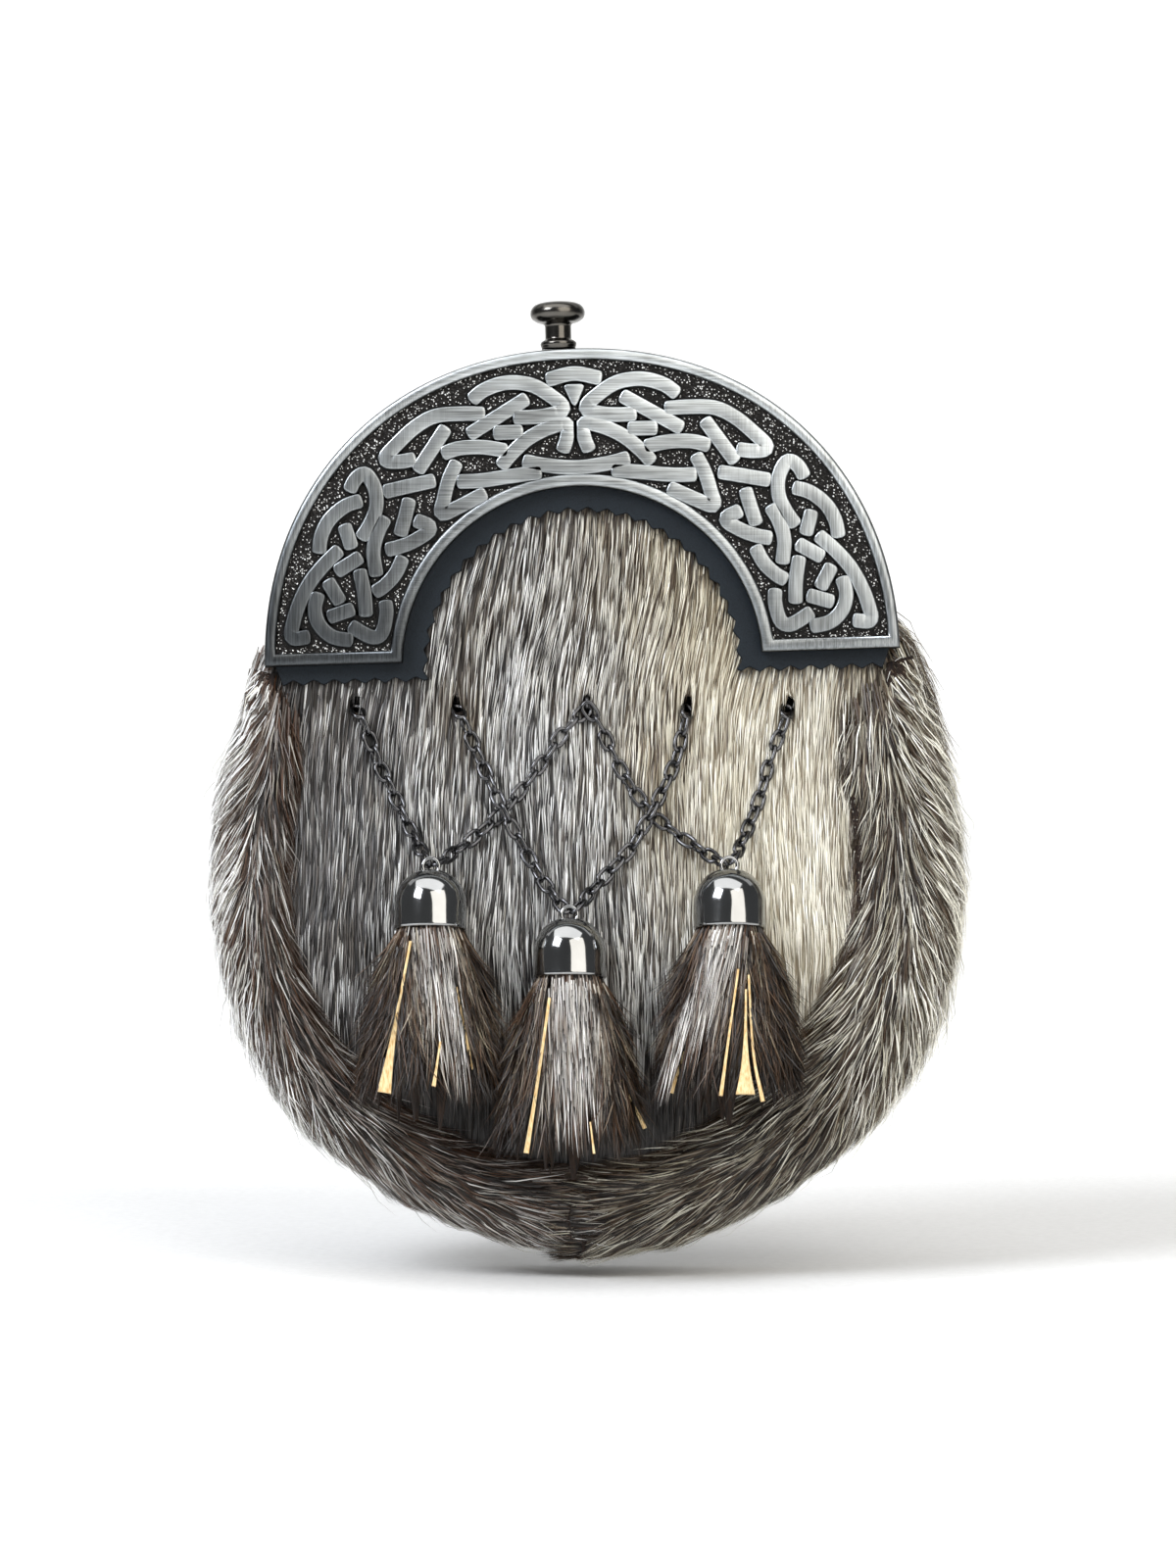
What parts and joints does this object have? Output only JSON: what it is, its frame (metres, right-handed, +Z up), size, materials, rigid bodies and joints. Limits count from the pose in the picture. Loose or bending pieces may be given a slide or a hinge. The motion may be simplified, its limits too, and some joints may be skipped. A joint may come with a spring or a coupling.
{
  "type": "sporran pouch",
  "caption": "Dress sporran: fur-on hide pouch with a deep fur border, a pewter knotwork cantle with a knob, and bell-capped fur tassels on crossed chains.",
  "frame": {"origin": "the belt line: midway between the two strap loops on the back, level with the feet of the cantle", "axes": "+Z up as worn, +Y towards the wearer, the front faces -Y and +X is to the right as seen"},
  "size_m": [0.1923, 0.0673, 0.2422],
  "materials": {
    "pewter": "antiqued cast pewter, raised parts brushed, sunk field dark and stippled",
    "gunmetal": "polished black nickel",
    "chain_metal": "black nickel plated wire links",
    "pinked_leather": "smooth navy black leather with a pinked edge",
    "back_leather": "black grained leather",
    "front_fur": "short flat-lying fur, grey on the left to cream on the right",
    "border_fur": "deep dark brown fur with silver guard hairs",
    "tassel_fur": "strips of fur-on hide with tan cut edges"
  },
  "bodies": {
    "root": {"back_panel": "back_leather", "gusset": "back_leather", "strap_loop_left": "back_leather", "strap_loop_right": "back_leather", "front_hide": "front_fur", "border_fur_left": "border_fur", "border_fur_right": "border_fur", "cantle_leather": "pinked_leather", "cantle": "pewter", "knob": "gunmetal", "bell_left": "gunmetal", "bell_centre": "gunmetal", "bell_right": "gunmetal", "tassel_left": "tassel_fur", "tassel_centre": "tassel_fur", "tassel_right": "tassel_fur", "chain_left_outer": "chain_metal", "chain_left_inner": "chain_metal", "chain_centre_left": "chain_metal", "chain_centre_right": "chain_metal", "chain_right_inner": "chain_metal", "chain_right_outer": "chain_metal"}
  },
  "joints": []
}
